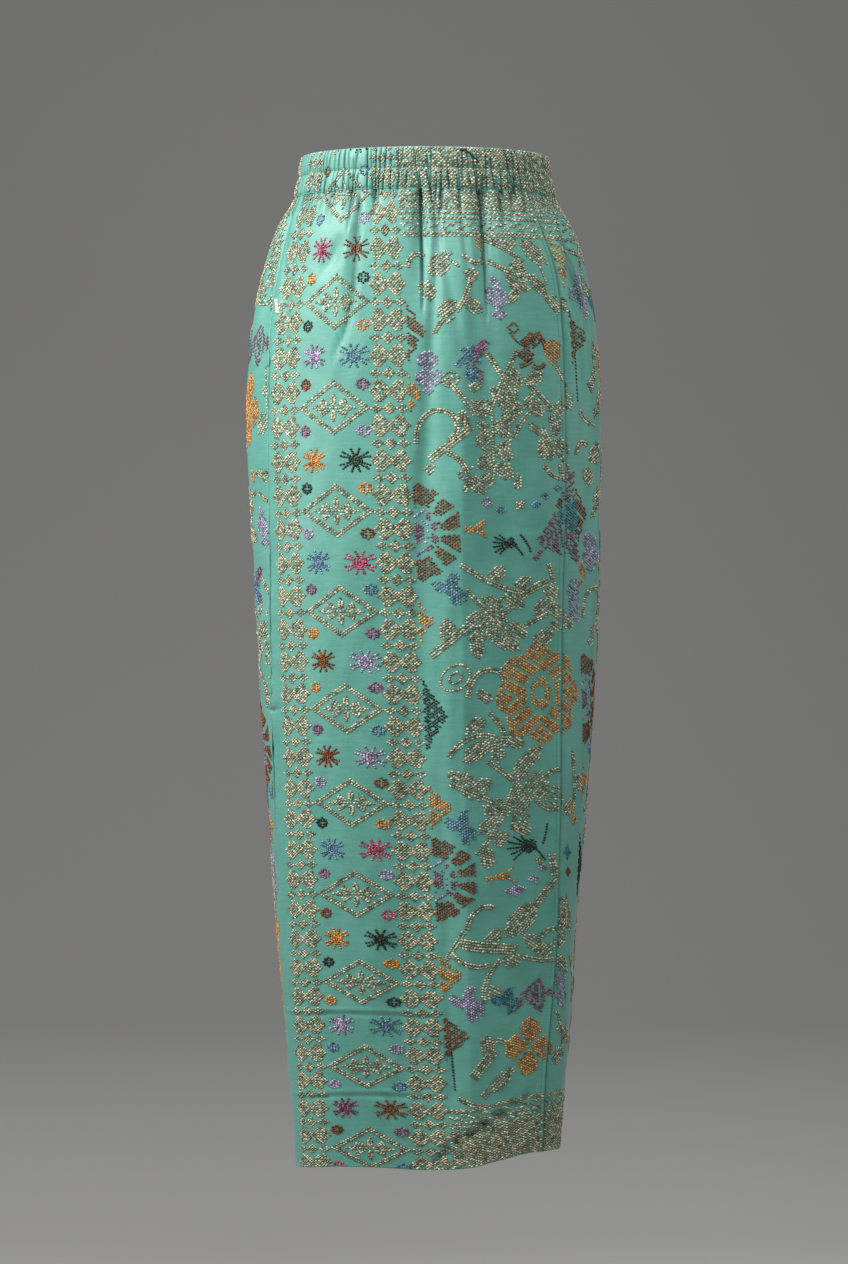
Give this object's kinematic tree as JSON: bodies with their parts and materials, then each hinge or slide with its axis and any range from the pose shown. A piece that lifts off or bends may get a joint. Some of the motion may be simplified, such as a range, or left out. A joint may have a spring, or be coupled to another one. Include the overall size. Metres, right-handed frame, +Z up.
{
  "type": "songket skirt",
  "caption": "Ankle-length narrow tube skirt of songket cloth, gathered into an elasticated fold-over waistband, with a side tuck and a pressed front crease.",
  "frame": {"origin": "middle of the waist, halfway up the elasticated waistband, where the wearer's waist holds the skirt", "axes": "+Z up along the wearer, front facing -Y, +X towards the side with the tuck"},
  "size_m": [0.3428, 0.2568, 0.9715],
  "materials": {
    "songket_cloth": "satin plain weave with raised supplementary weft floats",
    "elastic_casing": "gathered satin plain weave",
    "gold_thread": "soft metallic thread",
    "silk_thread": "glossy coloured thread",
    "sewing_thread": "matt twisted thread"
  },
  "bodies": {
    "root": {"front_panel": "songket_cloth", "back_panel": "songket_cloth", "waistband": "elastic_casing"}
  },
  "joints": []
}
